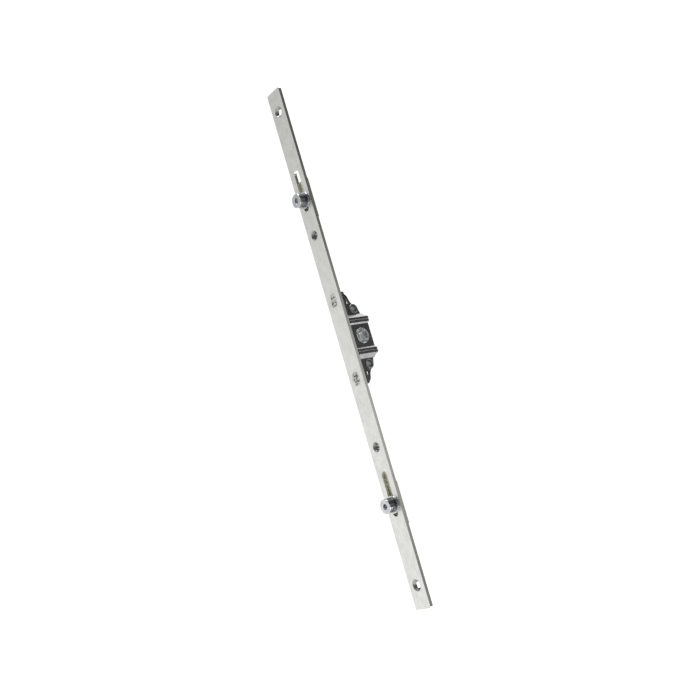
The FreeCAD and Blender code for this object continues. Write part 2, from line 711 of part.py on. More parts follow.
def make_guide_bush(label, sign):
    """A flanged bush that guides the rod and takes an inner faceplate screw."""
    body = new_body(label)
    profile = new_sketch(body, "XY", label + "_profile")
    bore, outer, flange = size.bush_bore / 2, size.bush_radius, size.bush_flange_radius
    front = bush_sink - plate_front
    rear = -case_base
    back = rear + size.bush_flange_thick
    add_polygon(profile, [(bore, back), (flange, back), (flange, rear), (outer, rear), (outer, front),
                          (bore, front + outer - bore)])
    revolve(body, profile, label + "_tube", "V_Axis")
    place(body, z=size.bush_z * sign)
    return body


def cam_levels():
    """Heights of the cam's pieces in front of the hub axis, from the faceplate outwards."""
    level = {"collar": plate_front + size.slide_gap}
    level["collar_top"] = level["collar"] + size.collar_thick
    level["roller"] = level["collar_top"] + size.slide_gap
    level["roller_top"] = level["roller"] + size.roller_length
    level["head"] = level["roller_top"] + size.slide_gap
    level["head_top"] = level["head"] + size.cam_head_thick
    return level


def rivet_levels():
    """Heights of the pieces behind the rod, from the rod backwards."""
    level = {"washer_front": rod_back - size.wave_thick - size.wave_bow}
    level["washer_back"] = level["washer_front"] - size.washer_thick
    level["rivet_back"] = level["washer_back"] - size.rivet_thick
    return level


def cam_place(name):
    return CAMS[name] + rod_rest


def make_cam_pin(name):
    """The eccentric pin that holds a roller: shank in the rod, journal and head beside its axis."""
    label = name + "_cam_pin"
    body = new_body(label)
    level = cam_levels()
    washer_back, rivet_back = rivet_levels()["washer_back"], rivet_levels()["rivet_back"]
    journal_foot, head_low, head_top = level["collar_top"], level["head"], level["head_top"]
    shank_profile = new_sketch(body, "XY", label + "_shank_profile")
    shank, rivet = size.cam_shank_radius, size.rivet_radius
    add_polygon(shank_profile, [(ZERO, -rivet_back), (rivet, -rivet_back), (rivet, -washer_back),
                                (shank, -washer_back), (shank, -level["roller"]), (ZERO, -level["roller"])])
    revolve(body, shank_profile, label + "_shank", "V_Axis")
    head_profile = new_sketch(body, "XY", label + "_head_profile", shift=roller_x)
    journal, head = size.cam_journal_radius, size.roller_radius
    add_polygon(head_profile, [(ZERO, -journal_foot), (journal, -journal_foot), (journal, -head_low),
                               (head, -head_low), (head, -head_top), (ZERO, -head_top)])
    revolve(body, head_profile, label + "_head", "V_Axis")
    socket = new_sketch(body, "XZ", label + "_socket_outline", offset=head_top, shift=roller_x)
    add_hexagon(socket, size.cam_hex)
    pocket(body, socket, label + "_socket", size.cam_hex_depth)
    place(body, z=cam_place(name))
    return body


def make_cam_ring(label, name, inner, outer, heights, shift=None):
    """A plain ring on a cam between two heights."""
    body = new_body(label)
    low, top = heights
    profile = new_sketch(body, "XY", label + "_profile", shift=shift)
    add_polygon(profile, [(inner, -low), (outer, -low), (outer, -top), (inner, -top)])
    revolve(body, profile, label + "_ring", "V_Axis")
    place(body, z=cam_place(name))
    return body


def make_wave_washer(name):
    """A ring cut from a bowed sheet, so that it springs between the rod and the rivet washer."""
    label = name + "_cam_wave_washer"
    bow, thick, radius = size.wave_bow, size.wave_thick, size.wave_radius
    sheet_radius = (radius * radius) / (bow * 2)
    middle = rod_back - bow - thick
    disc = doc.addObject("Part::Cylinder", label + "_disc")
    bore = doc.addObject("Part::Cylinder", label + "_bore")
    inner_roll = doc.addObject("Part::Cylinder", label + "_inner_roll")
    outer_roll = doc.addObject("Part::Cylinder", label + "_outer_roll")
    axis_y = FreeCAD.Rotation(V(1, 0, 0), 90)
    axis_x = FreeCAD.Rotation(V(0, 1, 0), 90)
    height = size.plate_width
    for cylinder, cylinder_radius in ((disc, radius), (bore, size.cam_shank_radius + size.seat_gap)):
        bind(cylinder, "Radius", cylinder_radius)
        bind(cylinder, "Height", height)
        cylinder.Placement = FreeCAD.Placement(V(), axis_y)
    for cylinder, cylinder_radius in ((inner_roll, sheet_radius), (outer_roll, sheet_radius + thick)):
        bind(cylinder, "Radius", cylinder_radius)
        bind(cylinder, "Height", height)
        cylinder.Placement = FreeCAD.Placement(V(), axis_x)
        cylinder.setExpression("Placement.Base.x", (-height / 2).text)
        cylinder.setExpression("Placement.Base.y", (-middle - thick - sheet_radius).text)
    ring = doc.addObject("Part::Cut", label + "_flat_ring")
    ring.Base, ring.Tool = disc, bore
    shell = doc.addObject("Part::Cut", label + "_sheet")
    shell.Base, shell.Tool = outer_roll, inner_roll
    washer = doc.addObject("Part::Common", label)
    washer.Base, washer.Tool = ring, shell
    washer.Label = label
    place(washer, z=cam_place(name))
    return washer


def make_cam(name):
    """All pieces of one roller cam."""
    level, rear = cam_levels(), rivet_levels()
    shank = size.cam_shank_radius + size.seat_gap
    bore = size.cam_journal_radius + size.turn_gap
    collar = (level["collar"], level["collar_top"])
    roller = (level["roller"], level["roller_top"])
    washer = (rear["washer_back"], rear["washer_front"])
    return [
        make_cam_pin(name),
        make_cam_ring(name + "_cam_collar", name, shank, size.collar_radius, collar),
        make_cam_ring(name + "_cam_roller", name, bore, size.roller_radius, roller, shift=roller_x),
        make_wave_washer(name),
        make_cam_ring(name + "_cam_rivet_washer", name, shank, size.washer_radius, washer),
    ]


def check_document():
    """Stop if an object has failed, or a cut has taken nothing away."""
    for item in doc.Objects:
        if "Invalid" in item.State or "Error" in item.State:
            raise RuntimeError("%s has failed: %s" % (item.Name, item.State))
        if item.TypeId == "PartDesign::Pocket":
            before, after = item.BaseFeature.Shape.Volume, item.Shape.Volume
            if after > before - TINY:
                raise RuntimeError("%s cuts nothing" % item.Name)


def export(pieces):
    os.makedirs("parts", exist_ok=True)
    for piece in pieces:
        shape = piece.Shape
        if shape.isNull() or not shape.isValid():
            raise RuntimeError("%s has no valid shape" % piece.Label)
        shape.exportStep(os.path.join("parts", piece.Label + ".step"))
        box = shape.BoundBox
        print("%-24s solids %d  volume %8.1f  X %6.2f %6.2f  Y %6.2f %6.2f  Z %7.2f %7.2f" % (
            piece.Label, len(shape.Solids), shape.Volume,
            box.XMin, box.XMax, box.YMin, box.YMax, box.ZMin, box.ZMax))


pieces = [
    make_faceplate(),
    make_drive_rod(),
    make_hub(),
    make_case_half("case_half_right", 1),
    make_case_half("case_half_left", -1),
    make_brake_spring(),
]
for position, sign in MIRRORED.items():
    pieces.append(make_eyelet("handle_eyelet_" + position, sign))
    pieces.append(make_guide_bush("guide_bush_" + position, sign))
    pieces.extend(make_cam(position))
doc.recompute()
check_document()
export(pieces)
print("travel of the drive rod %.3f mm, pitch radius %.3f mm" % (travel.value, pitch_radius.value))
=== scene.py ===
"""Window espagnolette: the looks of a drive-rod bolt for the edge of a window sash.

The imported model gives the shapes. Each piece is a copy of its node with softened edges and a
finish of plated strip, die-casting or turned steel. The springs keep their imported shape, and a
plain studio stands around them all.
"""
import json
import math

import bmesh
import bpy
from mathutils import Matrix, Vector


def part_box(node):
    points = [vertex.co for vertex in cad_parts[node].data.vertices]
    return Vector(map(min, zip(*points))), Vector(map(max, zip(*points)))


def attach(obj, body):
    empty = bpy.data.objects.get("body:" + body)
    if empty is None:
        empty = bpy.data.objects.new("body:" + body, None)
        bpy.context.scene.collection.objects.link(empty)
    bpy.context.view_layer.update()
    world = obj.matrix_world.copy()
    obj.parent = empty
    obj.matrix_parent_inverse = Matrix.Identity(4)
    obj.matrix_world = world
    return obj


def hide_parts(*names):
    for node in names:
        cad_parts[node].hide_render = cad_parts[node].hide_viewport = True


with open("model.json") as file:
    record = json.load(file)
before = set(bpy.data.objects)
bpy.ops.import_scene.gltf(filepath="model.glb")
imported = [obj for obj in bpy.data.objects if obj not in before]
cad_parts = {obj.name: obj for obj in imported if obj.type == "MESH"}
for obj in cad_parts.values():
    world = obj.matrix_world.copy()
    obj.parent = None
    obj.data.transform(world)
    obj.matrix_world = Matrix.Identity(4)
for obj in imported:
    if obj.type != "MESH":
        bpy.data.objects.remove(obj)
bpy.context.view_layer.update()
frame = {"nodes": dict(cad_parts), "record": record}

bl_info = {
    "name": "Window Espagnolette",
    "version": (1, 0, 0),
    "blender": (4, 5, 0),
    "location": "View3D > Sidebar > Espagnolette",
    "description": "Dresses the packed model of a window espagnolette and sets it in a studio",
    "category": "Object",
}

MM = 0.001
TAG = "espagnolette"
ENDS = ("upper", "lower")
PLATE_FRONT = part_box("faceplate")[0].y

# Edges and flats of the pieces
MERGE = 0.002 * MM  # corners this near are joined
CREASE = math.radians(30)  # an edge that turns more than this is rounded
ROOM = 1.3  # widths of the rounding that the edges beside it have to be long
WEIGHT = "bevel_weight_edge"  # the attribute that a bevel reads
LEVEL = 0.0005 * MM  # corners this near a plane lie in it
BROAD = 0.6 * MM  # mean width from which a flat is shaded flat

# Sockets of a Mix node, for numbers and for colours
MIX_SHARE = 0
NUMBER_UNDER, NUMBER_OVER, NUMBER_MIXED = 2, 3, 0
COLOUR_UNDER, COLOUR_OVER, COLOUR_MIXED = 6, 7, 2

# Finish of the metals
CLOUD_SPAN = (0.34, 0.66)  # noise of the darkest and the lightest cloud
GRAIN_SPAN = (0.3, 0.7)  # noise of the smoothest and the roughest grain
GRAIN_STRENGTH = 0.3
FILM_METALLIC = 0.7  # the chromate film hides some of the metal
SIDE_SPAN = (0.75, 0.95)  # facing along X: a flat up to the first, a side from the second
SIDE_ROUGH = 0.25

# Staked tenons and the blots of crushed zinc on them
TENON_HEIGHT = 30.3 * MM
BLOT = 2.0 * MM
BLOT_SPAN = (0.42, 0.58)
STAKED_DEPTH = (0.1 * MM, 0.35 * MM)  # bare zinc down to the first, plated from the second
STAKED_ROUGH = 0.5
SCUFF_REACH = (4.8 * MM, 1.0 * MM, 5.8 * MM)
SCUFF_FADE = (0.7, 1.0)

# Painted shade in the recesses of holes
END_SINK_RADIUS = 4.2 * MM
BUSH_SINK_RADIUS = 3.7 * MM
SINK_DEPTH = 2.4 * MM
SINK_SHADE = 0.5
SOCKET_RADIUS = 4.2 * MM
SOCKET_SHADE = 0.55
EYELET_RADIUS = 2.75 * MM
EYELET_SHADE = 0.5
HOLE_FADE = (1.0, 1.06)

# Floor, lights and camera, in metres
FLOOR_SIDES = 96
FLOOR_ROUGH = 0.8
BANK_PLACE = (-0.15, 0.95, 1.15)
BANK_SIZE = 1.3
LAMP_PLACE = (0.0, 0.0, 1.6)
LAMP_SIZE = 0.8
KICKER_PLACE = (0.34, 0.5, -0.53)
KICKER_SIZE = 0.22
CAMERA_NEAR = 0.01
CAMERA_FAR = 50.0

# Surround, where heights and depths are the Z and Y of a direction one long
WHITE = (1.0, 1.0, 1.0, 1.0)
HORIZON_LOW = 0.12  # height up to which the low light reaches
HORIZON_HIGH = 0.36  # height from which there is only high light
CARD_DIRECTION = (0.93, -0.1, 0.35)
CARD_INNER = math.radians(54)  # angle off its direction within which the card is fully dark
CARD_OUTER = math.radians(76)  # angle at which it has faded out
CARD_SHADE = 0.12
GLOW_SHARE = 0.72
GLOW_HEIGHT = 0.09
GLOW_INNER = 0.03  # half the height of the full glow
GLOW_OUTER = 0.20  # half the height at which it ends
REAR_FROM = 0.0  # depth at which the glow begins
REAR_TO = 0.35  # depth at which it is full
BACK_FROM = 0.55  # depth at which the surround begins to dim
BACK_TO = 0.9
BACK_SHADE = 0.4


def srgb(hex_colour):
    """Linear red, green and blue of an sRGB hex colour."""
    parts = [int(hex_colour[i:i + 2], 16) / 255 for i in (0, 2, 4)]
    return tuple(c / 12.92 if c <= 0.04045 else ((c + 0.055) / 1.055) ** 2.4 for c in parts)


def colour_prop(name, description, hex_colour):
    return bpy.props.FloatVectorProperty(
        name=name, description=description, subtype="COLOR", size=3, min=0.0, max=1.0,
        default=srgb(hex_colour))


def length_prop(name, description, millimetres):
    return bpy.props.FloatProperty(
        name=name, description=description, subtype="DISTANCE", unit="LENGTH", precision=5,
        default=millimetres * MM)


class EspagnoletteSizes(bpy.types.PropertyGroup):
    """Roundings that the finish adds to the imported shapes."""

    strip_edge: length_prop(
        "Strip edge", "Rounding of the faceplate's rolled and punched edges", 0.15)
    rod_edge: length_prop("Rod edge", "Rounding of the drive rod's punched edges", 0.1)
    casting_edge: length_prop("Casting edge", "Rounding of the gear case's cast edges", 0.15)
    hub_edge: length_prop("Hub edge", "Rounding of the hub's faces and teeth", 0.15)
    turned_edge: length_prop("Turned edge", "Rounding of the turned cam pieces", 0.18)
    rivet_edge: length_prop("Rivet edge", "Rounding of eyelets, bushes and washers", 0.12)


class EspagnoletteFinishes(bpy.types.PropertyGroup):
    """Colours of the plated and cast surfaces."""

    strip_light: colour_prop("Strip, light", "Zinc-plated strip where it is clear", "DCDCD9")
    strip_dark: colour_prop("Strip, dark", "Zinc-plated strip where it is cloudy", "D2D2CE")
    slit_colour: colour_prop(
        "Strip, slit edge", "Thin zinc on the faceplate's slit edges", "D4D4CE")
    rod_colour: colour_prop("Rod", "Yellow-green zinc of the drive rod", "EAEAD6")
    case_colour: colour_prop("Case", "Dark gunmetal plating of the gear case", "5F5F5F")
    staked_colour: colour_prop(
        "Staked ends", "Crushed zinc of the case's staked tenons", "8E8E8A")
    hub_colour: colour_prop("Hub", "Bright zinc of the hub", "E8EEEE")
    cam_colour: colour_prop("Cam", "Bright zinc of the cam heads and collars", "CCCDD0")
    roller_colour: colour_prop("Roller", "Darker zinc of the rollers' sides", "8C8D90")
    eyelet_colour: colour_prop("Eyelet", "Plain plating of the eyelets", "A4A5A6")
    bush_colour: colour_prop("Bush", "Dull zinc of the guide bushes", "9C9D9A")
    spring_colour: colour_prop("Spring steel", "Blued strip of the springs", "5A5E68")


class EspagnoletteStudio(bpy.types.PropertyGroup):
    """Camera, floor and light."""

    camera_place: bpy.props.FloatVectorProperty(
        name="Camera place", description="Where the camera stands", subtype="XYZ", unit="LENGTH",
        default=(541.6 * MM, -461.7 * MM, -117.2 * MM))
    camera_aim: bpy.props.FloatVectorProperty(
        name="Camera aim", description="Point on the faceplate's front that the camera looks at",
        subtype="XYZ", unit="LENGTH", default=(2.4 * MM, PLATE_FRONT, -8.9 * MM))
    camera_roll: bpy.props.FloatProperty(
        name="Camera roll", description="Tilt of the camera about its own axis", subtype="ANGLE",
        unit="ROTATION", default=math.radians(16.3))
    camera_lens: bpy.props.FloatProperty(
        name="Lens", description="Focal length on a 36 mm sensor", subtype="DISTANCE_CAMERA",
        unit="CAMERA", default=49.96)
    floor_drop: length_prop("Floor drop", "Origin down to the floor", 620.0)
    floor_radius: length_prop("Floor radius", "Radius of the round floor", 1000.0)
    floor_colour: colour_prop("Floor", "Pale floor", "F4F4F2")
    low_light: bpy.props.FloatProperty(
        name="Low light", description="Strength of the surround near the floor",
        default=1.15, min=0.0)
    high_light: bpy.props.FloatProperty(
        name="High light", description="Strength of the surround overhead",
        default=0.62, min=0.0)
    backdrop_light: bpy.props.FloatProperty(
        name="Backdrop", description="Strength of the white that the camera sees",
        default=1.1, min=0.0)
    bank_power: bpy.props.FloatProperty(
        name="Rear bank", description="Power of the soft bank above and behind",
        unit="POWER", default=22.0, min=0.0)
    lamp_power: bpy.props.FloatProperty(
        name="Overhead lamp", description="Power of the lamp that lights the floor",
        unit="POWER", default=45.0, min=0.0)
    kicker_power: bpy.props.FloatProperty(
        name="Low lamp", description="Power of the small lamp low at the rear",
        unit="POWER", default=1.0, min=0.0)


# Helpers for materials
def add_node(tree, kind, settings=None, links=None):
    """Add a node; settings name its own properties or its sockets, links name sockets to feed."""
    node = tree.nodes.new(kind)
    for key, value in (settings or {}).items():
        if isinstance(key, int) or key in node.inputs:
            node.inputs[key].default_value = value
        else:
            setattr(node, key, value)
    for key, source in (links or {}).items():
        tree.links.new(source, node.inputs[key])
    return node


def darker(colour, share):
    return tuple(channel * share for channel in colour)


def plated_metal(name, light, dark, cloud, line, rough, relief):
    """A plated metal: cloudy between two colours, its sheen and relief varied by lines or grain.

    Cloud and line are grain sizes on X, Y and Z in millimetres, rough is the lowest and highest
    roughness, and relief is the depth of the grain in millimetres.
    """
    material = bpy.data.materials.new(name)
    material.use_nodes = True
    tree = material.node_tree
    tree.nodes.clear()
    place = add_node(tree, "ShaderNodeTexCoord").outputs["Object"]
    cloud_place = add_node(tree, "ShaderNodeMapping",
                           {"Scale": [1 / (step * MM) for step in cloud]}, {"Vector": place})
    line_place = add_node(tree, "ShaderNodeMapping",
                          {"Scale": [1 / (step * MM) for step in line]}, {"Vector": place})
    clouds = add_node(tree, "ShaderNodeTexNoise",
                      {"Scale": 1.0, "Detail": 2.0, "Roughness": 0.55},
                      {"Vector": cloud_place.outputs["Vector"]})
    lines = add_node(tree, "ShaderNodeTexNoise",
                     {"Scale": 1.0, "Detail": 4.0, "Roughness": 0.6},
                     {"Vector": line_place.outputs["Vector"]})
    tone = add_node(tree, "ShaderNodeMapRange",
                    {"From Min": CLOUD_SPAN[0], "From Max": CLOUD_SPAN[1]},
                    {"Value": clouds.outputs["Fac"]})
    colour = add_node(tree, "ShaderNodeMix",
                      {"data_type": "RGBA",
                       COLOUR_UNDER: (*dark, 1.0), COLOUR_OVER: (*light, 1.0)},
                      {MIX_SHARE: tone.outputs["Result"]})
    sheen = add_node(tree, "ShaderNodeMapRange",
                     {"From Min": GRAIN_SPAN[0], "From Max": GRAIN_SPAN[1],
                      "To Min": rough[0], "To Max": rough[1]},
                     {"Value": lines.outputs["Fac"]})
    bumps = add_node(tree, "ShaderNodeBump",
                     {"Strength": GRAIN_STRENGTH, "Distance": relief * MM},
                     {"Height": lines.outputs["Fac"]})
    shader = add_node(tree, "ShaderNodeBsdfPrincipled", {"Metallic": 1.0},
                      {"Base Color": colour.outputs[COLOUR_MIXED],
                       "Roughness": sheen.outputs["Result"],
                       "Normal": bumps.outputs["Normal"]})
    add_node(tree, "ShaderNodeOutputMaterial", links={"Surface": shader.outputs["BSDF"]})
    return material, tree, shader, place


def hole_height(mount):
    """Height of the upper one of two packed screw holes, which lie evenly about the origin."""
    sizes = next(item["dims"] for item in frame["record"]["mounts"] if item["name"] == mount)
    return sizes["spacing_y_mm"] / 2 * MM


def nearness(tree, place, centre, reach, fade):
    """One near a centre and zero away from it, on both sides of the origin alike.

    Centre and reach are on X, Y and Z, an endless reach leaves its axis out, and fade holds the
    shares of the reach up to which it is one and from which it is zero.
    """
    folded = add_node(tree, "ShaderNodeVectorMath", {"operation": "ABSOLUTE"}, {0: place})
    shifted = add_node(tree, "ShaderNodeVectorMath", {"operation": "SUBTRACT", 1: centre},
                       {0: folded.outputs["Vector"]})
    scaled = add_node(tree, "ShaderNodeVectorMath",
                      {"operation": "MULTIPLY", 1: [1 / length for length in reach]},
                      {0: shifted.outputs["Vector"]})
    away = add_node(tree, "ShaderNodeVectorMath", {"operation": "LENGTH"},
                    {0: scaled.outputs["Vector"]})
    near = add_node(tree, "ShaderNodeMapRange", {"From Min": fade[1], "From Max": fade[0]},
                    {"Value": away.outputs["Value"]})
    return near.outputs["Result"]


def paint_hole_shade(tree, place, shader, shade, centre, reach):
    """Paint shade into a hole's recess by multiplying the shader's colour around it by a shade."""
    plain = shader.inputs["Base Color"].links[0].from_socket
    colour = add_node(tree, "ShaderNodeMix",
                      {"data_type": "RGBA", "blend_type": "MULTIPLY",
                       COLOUR_OVER: (shade, shade, shade, 1.0)},
                      {MIX_SHARE: nearness(tree, place, centre, reach, HOLE_FADE),
                       COLOUR_UNDER: plain})
    tree.links.new(colour.outputs[COLOUR_MIXED], shader.inputs["Base Color"])


def blotted(tree, place, finish):
    """The cloudy zinc with blots where a staking punch has crushed it."""
    blots = add_node(tree, "ShaderNodeTexNoise", {"Scale": 1 / BLOT, "Detail": 1.0},
                     {"Vector": place})
    crushed = add_node(tree, "ShaderNodeMapRange",
                       {"From Min": BLOT_SPAN[0], "From Max": BLOT_SPAN[1]},
                       {"Value": blots.outputs["Fac"]})
    colour = add_node(tree, "ShaderNodeMix",
                      {"data_type": "RGBA", COLOUR_UNDER: (*finish.strip_dark, 1.0),
                       COLOUR_OVER: (*finish.staked_colour, 1.0)},
                      {MIX_SHARE: crushed.outputs["Result"]})
    return colour.outputs[COLOUR_MIXED]


def scuff_tenons(tree, place, shader, finish):
    """Lay blots over the strip's colour around both staked tenons."""
    plain = shader.inputs["Base Color"].links[0].from_socket
    near = nearness(tree, place, (0.0, -PLATE_FRONT, TENON_HEIGHT), SCUFF_REACH, SCUFF_FADE)
    colour = add_node(tree, "ShaderNodeMix", {"data_type": "RGBA"},
                      {MIX_SHARE: near, COLOUR_UNDER: plain,
                       COLOUR_OVER: blotted(tree, place, finish)})
    tree.links.new(colour.outputs[COLOUR_MIXED], shader.inputs["Base Color"])


def burnish_sides(tree, shader, colour):
    """Slit and punched sides, which face along X: smoother than the flats, in their own colour."""
    facing = add_node(tree, "ShaderNodeTexCoord").outputs["Normal"]
    split = add_node(tree, "ShaderNodeSeparateXYZ", links={"Vector": facing})
    across = add_node(tree, "ShaderNodeMath", {"operation": "ABSOLUTE"}, {0: split.outputs["X"]})
    side = add_node(tree, "ShaderNodeMapRange",
                    {"From Min": SIDE_SPAN[0], "From Max": SIDE_SPAN[1]},
                    {"Value": across.outputs[0]})
    for socket, kind, own, under, over, mixed in (
            ("Base Color", "RGBA", (*colour, 1.0), COLOUR_UNDER, COLOUR_OVER, COLOUR_MIXED),
            ("Roughness", "FLOAT", SIDE_ROUGH, NUMBER_UNDER, NUMBER_OVER, NUMBER_MIXED)):
        plain = shader.inputs[socket].links[0].from_socket
        mix = add_node(tree, "ShaderNodeMix", {"data_type": kind, over: own},
                       {MIX_SHARE: side.outputs["Result"], under: plain})
        tree.links.new(mix.outputs[mixed], shader.inputs[socket])


# Materials
def zinc_strip(finish):
    """Zinc-plated cold-rolled strip: satin and cloudy, with lengthwise rolling lines.

    The real lines are too fine to show, so they are drawn 0.4 mm apart. The slit sides are
    smoother and a little greyer, and the countersinks carry painted shade.
    """
    material, tree, shader, place = plated_metal(
        "zinc_plated_rolled_strip", finish.strip_light, finish.strip_dark,
        cloud=(3.0, 3.0, 5.0), line=(0.4, 0.4, 4.0), rough=(0.34, 0.44), relief=0.02)
    scuff_tenons(tree, place, shader, finish)
    burnish_sides(tree, shader, finish.slit_colour)
    # Painted shade in the countersinks of the end and bush screw holes
    for mount, radius in (("end_screw_holes", END_SINK_RADIUS),
                          ("bush_screw_holes", BUSH_SINK_RADIUS)):
        paint_hole_shade(tree, place, shader, SINK_SHADE, centre=(0.0, -PLATE_FRONT, hole_height(mount)),
                  reach=(radius, SINK_DEPTH, radius))
    return material


def chromated_rod(finish):
    """Punched bar with a yellow-green chromate film: duller and warmer than the faceplate.

    Its rolling lines too are drawn 0.4 mm apart, which is coarser than they are.
    """
    material, tree, shader, _ = plated_metal(
        "yellow_chromated_punched_bar", finish.rod_colour, darker(finish.rod_colour, 0.85),
        cloud=(5.0, 5.0, 16.0), line=(0.4, 0.4, 26.0), rough=(0.5, 0.62), relief=0.02)
    burnish_sides(tree, shader, darker(finish.rod_colour, 0.8))
    shader.inputs["Metallic"].default_value = FILM_METALLIC
    return material


def dark_casting(finish):
    """Die-casting in glossy gunmetal plating: deep reflections with a faint orange peel.

    Where its tenons are staked flush with the faceplate it is bare grey zinc, rough and blotted.
    """
    material, tree, shader, place = plated_metal(
        "gunmetal_plated_die_casting", finish.case_colour, darker(finish.case_colour, 0.8),
        cloud=(4.0, 4.0, 4.0), line=(1.1, 1.1, 1.1), rough=(0.2, 0.3), relief=0.03)
    plated = shader.inputs["Base Color"].links[0].from_socket
    sheen = shader.inputs["Roughness"].links[0].from_socket
    split = add_node(tree, "ShaderNodeSeparateXYZ", links={"Vector": place})
    bare = add_node(tree, "ShaderNodeMapRange",
                    {"From Min": PLATE_FRONT + STAKED_DEPTH[1],
                     "From Max": PLATE_FRONT + STAKED_DEPTH[0]},
                    {"Value": split.outputs["Y"]})
    colour = add_node(tree, "ShaderNodeMix", {"data_type": "RGBA"},
                      {MIX_SHARE: bare.outputs["Result"], COLOUR_UNDER: plated,
                       COLOUR_OVER: blotted(tree, place, finish)})
    rough = add_node(tree, "ShaderNodeMix", {"data_type": "FLOAT", NUMBER_OVER: STAKED_ROUGH},
                     {MIX_SHARE: bare.outputs["Result"], NUMBER_UNDER: sheen})
    tree.links.new(colour.outputs[COLOUR_MIXED], shader.inputs["Base Color"])
    tree.links.new(rough.outputs[NUMBER_MIXED], shader.inputs["Roughness"])
    return material


def bright_hub(finish):
    """Sintered hub in bright zinc: silvery, mottled by its open grain, painted shade in its
    socket.

    The grain is drawn at 0.7 mm, coarser than the real powder's, so that it shows.
    """
    material, tree, shader, place = plated_metal(
        "bright_zinc_sintered_hub", finish.hub_colour, darker(finish.hub_colour, 0.35),
        cloud=(1.6, 1.6, 1.6), line=(0.7, 0.7, 0.7), rough=(0.25, 0.45), relief=0.12)
    # Painted shade inside the hub's square socket
    paint_hole_shade(tree, place, shader, SOCKET_SHADE, centre=(0.0, 0.0, 0.0),
              reach=(math.inf, SOCKET_RADIUS, SOCKET_RADIUS))
    return material


def turned_zinc(finish):
    """Turned steel in bright zinc: the cam pins and collars, with the rings of the tool.

    Real tool marks are finer, and these are drawn 0.2 mm apart so that they show.
    """
    return plated_metal(
        "bright_zinc_turned_steel", finish.cam_colour, darker(finish.cam_colour, 0.8),
        cloud=(3.0, 0.5, 3.0), line=(1.4, 0.2, 1.4), rough=(0.2, 0.32), relief=0.02)[0]


def roller_steel(finish):
    """Turned rollers in dull dark zinc, with rings around their sides, coarser than real ones."""
    return plated_metal(
        "dull_zinc_turned_rollers", finish.roller_colour, darker(finish.roller_colour, 0.7),
        cloud=(4.0, 0.6, 4.0), line=(3.0, 0.2, 3.0), rough=(0.24, 0.36), relief=0.03)[0]


def rivet_steel(finish):
    """Drawn tube rivets in dark zinc: small, glossy and slightly scuffed, painted shade in their
    bores.
    """
    material, tree, shader, place = plated_metal(
        "dark_zinc_tube_rivets", finish.eyelet_colour, darker(finish.eyelet_colour, 0.6),
        cloud=(1.5, 1.5, 1.5), line=(0.5, 0.5, 0.5), rough=(0.18, 0.32), relief=0.03)
    # Painted shade in the eyelets' bores
    paint_hole_shade(tree, place, shader, EYELET_SHADE,
              centre=(0.0, 0.0, hole_height("handle_screw_holes")),
              reach=(math.inf, EYELET_RADIUS, EYELET_RADIUS))
    return material


def bush_steel(finish):
    """Turned bushes and washers in dull zinc, their rings too drawn coarser than real ones."""
    return plated_metal(
        "dull_zinc_turned_bushes", finish.bush_colour, darker(finish.bush_colour, 0.8),
        cloud=(2.0, 2.0, 2.0), line=(0.8, 0.2, 0.8), rough=(0.45, 0.6), relief=0.02)[0]


def spring_steel(finish):
    """Blued spring strip: smooth and dark, with clouds of two blues and lines drawn coarse."""
    return plated_metal(
        "blued_spring_strip", finish.spring_colour, darker(finish.spring_colour, 0.7),
        cloud=(2.0, 2.0, 2.0), line=(0.4, 0.4, 3.0), rough=(0.26, 0.36), relief=0.01)[0]


# Helpers for modelling
def select_only(piece):
    bpy.ops.object.select_all(action="DESELECT")
    piece.select_set(True)
    bpy.context.view_layer.objects.active = piece


def take_copy(node, name):
    """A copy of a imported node's mesh with its loose triangles joined."""
    mesh = frame["nodes"][node].data.copy()
    mesh.name = name
    mesh.materials.clear()
    piece = bpy.data.objects.new(name, mesh)
    bpy.context.scene.collection.objects.link(piece)
    select_only(piece)
    bpy.ops.object.mode_set(mode="EDIT")
    bpy.ops.mesh.select_all(action="SELECT")
    bpy.ops.mesh.remove_doubles(threshold=MERGE)
    bpy.ops.object.mode_set(mode="OBJECT")
    return piece


def weigh_edges(piece, width):
    """Mark the sharp edges that have room for a rounding, and leave the others crisp."""
    shape = bmesh.new()
    shape.from_mesh(piece.data)
    weight = shape.edges.layers.float.new(WEIGHT)
    sharp = {edge for edge in shape.edges if edge.calc_face_angle(0.0) > CREASE}
    for edge in sharp:
        others = [other.calc_length() for corner in edge.verts for other in corner.link_edges
                  if other in sharp and other is not edge]
        roomy = min(others, default=math.inf) > ROOM * width
        edge[weight] = float(roomy)
        edge.smooth = roomy
    shape.to_mesh(piece.data)
    shape.free()


def flat_region(start, normal):
    """The faces around the start in its plane, also those that a rounding has turned over."""
    level = start.verts[0].co.dot(normal)
    region, fresh = {start}, [start]
    while fresh:
        near = {other for edge in fresh.pop().edges for other in edge.link_faces} - region
        near = {other for other in near
                if all(abs(corner.co.dot(normal) - level) < LEVEL for corner in other.verts)}
        region |= near
        fresh += near
    return region


def settle_flats(piece):
    """Shade broad flats flat, and fill anew those where the rounding has folded triangles over."""
    shape = bmesh.new()
    shape.from_mesh(piece.data)
    done = set()
    for start in sorted(shape.faces, key=lambda face: -face.calc_area()):
        if not start.is_valid or start in done:
            continue
        normal = start.normal.copy()
        region = flat_region(start, normal)
        length = max(edge.calc_length() for face in region for edge in face.edges)
        broad = sum(face.calc_area() for face in region) > BROAD * length
        if any(face.normal.dot(normal) <= 0.0 for face in region):
            rim = [edge for face in region for edge in face.edges
                   if sum(other in region for other in edge.link_faces) == 1]
            bmesh.ops.delete(shape, geom=list(region), context="FACES")
            filled = bmesh.ops.triangle_fill(shape, edges=rim, use_beauty=True, normal=normal)
            region = {item for item in filled["geom"] if isinstance(item, bmesh.types.BMFace)}
        for face in region:
            face.smooth = not broad
        done |= region
    shape.to_mesh(piece.data)
    shape.free()


